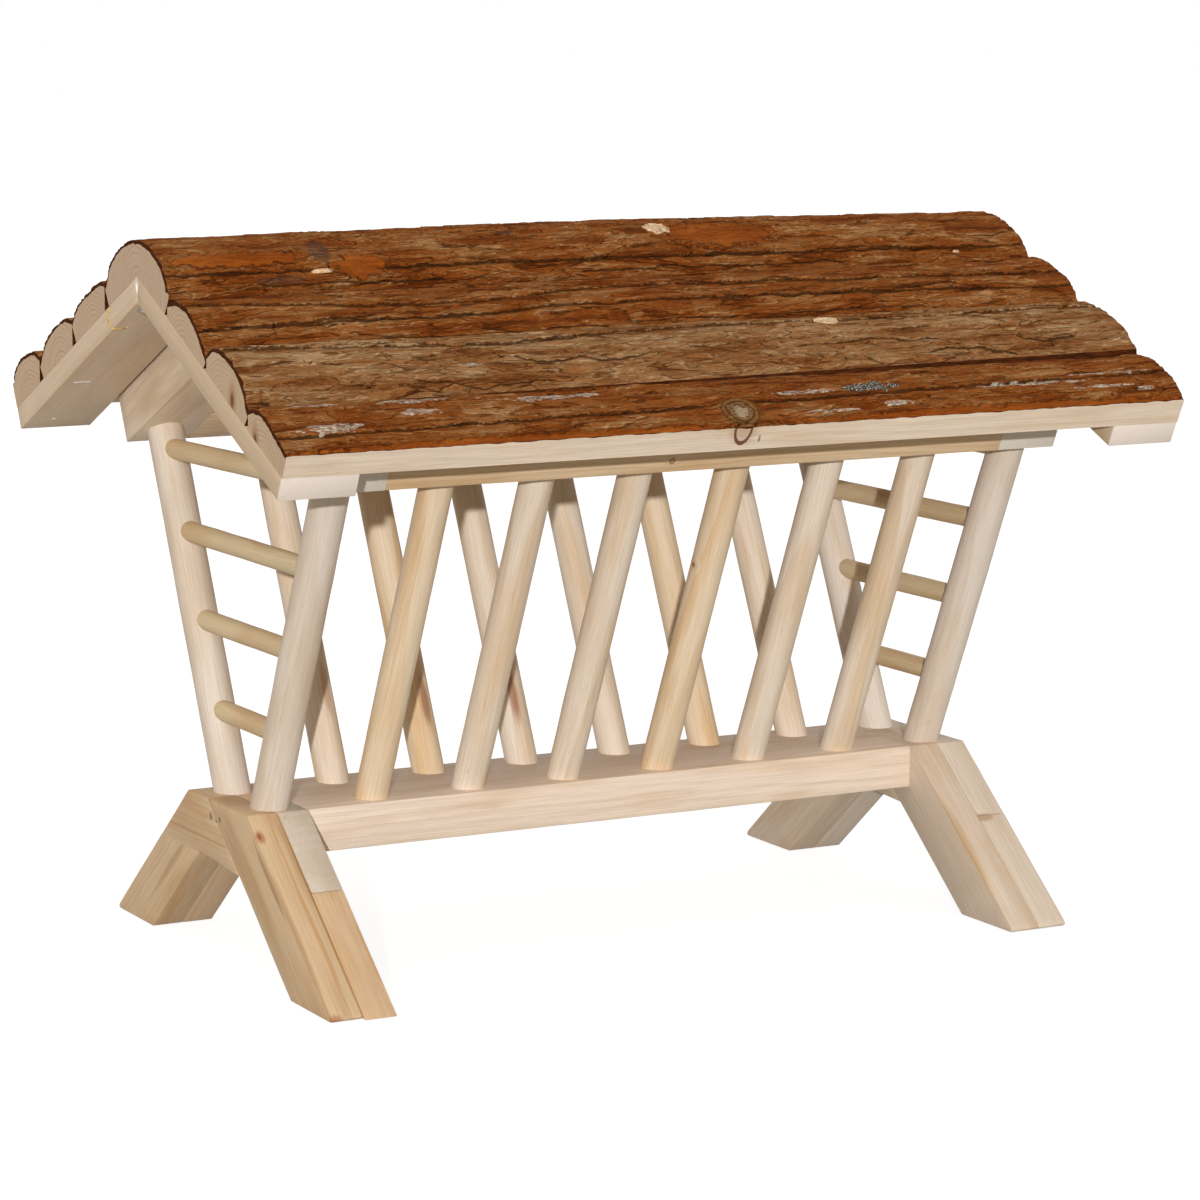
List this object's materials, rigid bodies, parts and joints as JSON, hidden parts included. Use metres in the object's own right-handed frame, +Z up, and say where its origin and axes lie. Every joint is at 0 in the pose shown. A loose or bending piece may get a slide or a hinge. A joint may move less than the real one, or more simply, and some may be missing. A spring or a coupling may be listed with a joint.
{
  "type": "hay feeder box",
  "caption": "Wooden hay rack for small pets: a V of slanted dowels on a board with two splayed trestles, under a lift-off gable roof of half-round bark slabs.",
  "frame": {"origin": "on the floor, under the middle of the feeder", "axes": "+X along the ridge to the right, +Y to the back, +Z up"},
  "size_m": [0.4724, 0.3396, 0.3484],
  "materials": {
    "dowel_pine": "raw round pine dowel, fine long grain",
    "trestle_pine": "raw sawn pine, brown streaks and glue lines",
    "board_pine": "raw planed pine board",
    "bark_log": "rough red-brown bark above, pale sawn wood at ends and below",
    "steel": "plain steel nails and staples",
    "brass_wire": "thin bent brass wire"
  },
  "bodies": {
    "rack": {"back_left_post": "dowel_pine", "back_left_rack_rafter": "board_pine", "back_rail": "board_pine", "back_right_post": "dowel_pine", "back_right_rack_rafter": "board_pine", "back_slat_1": "dowel_pine", "back_slat_2": "dowel_pine", "back_slat_3": "dowel_pine", "back_slat_4": "dowel_pine", "back_slat_5": "dowel_pine", "back_slat_6": "dowel_pine", "base_board": "board_pine", "front_left_post": "dowel_pine", "front_left_rack_rafter": "board_pine", "front_rail": "board_pine", "front_right_post": "dowel_pine", "front_right_rack_rafter": "board_pine", "front_slat_1": "dowel_pine", "front_slat_2": "dowel_pine", "front_slat_3": "dowel_pine", "front_slat_4": "dowel_pine", "front_slat_5": "dowel_pine", "front_slat_6": "dowel_pine", "left_inner_head": "trestle_pine", "left_inner_long_leg": "trestle_pine", "left_inner_short_leg": "trestle_pine", "left_nails": "steel", "left_outer_head": "trestle_pine", "left_outer_long_leg": "trestle_pine", "left_outer_short_leg": "trestle_pine", "left_rung_1": "dowel_pine", "left_rung_2": "dowel_pine", "left_rung_3": "dowel_pine", "left_rung_4": "dowel_pine", "right_inner_head": "trestle_pine", "right_inner_long_leg": "trestle_pine", "right_inner_short_leg": "trestle_pine", "right_nails": "steel", "right_outer_head": "trestle_pine", "right_outer_long_leg": "trestle_pine", "right_outer_short_leg": "trestle_pine", "right_rung_1": "dowel_pine", "right_rung_2": "dowel_pine", "right_rung_3": "dowel_pine", "right_rung_4": "dowel_pine"},
    "roof": {"back_bark_slab_1": "bark_log", "back_bark_slab_2": "bark_log", "back_bark_slab_3": "bark_log", "back_left_roof_rafter": "board_pine", "back_right_roof_rafter": "board_pine", "brass_wire": "brass_wire", "front_bark_slab_1": "bark_log", "front_bark_slab_2": "bark_log", "front_bark_slab_3": "bark_log", "front_left_roof_rafter": "board_pine", "front_right_roof_rafter": "board_pine", "left_staples": "steel", "ridge_slab": "bark_log", "right_staples": "steel"}
  },
  "joints": [
    {"name": "roof_lift", "type": "slide", "parent": "rack", "child": "roof", "axis": [0, 0, 1], "range_m": [0, 0.1]}
  ]
}
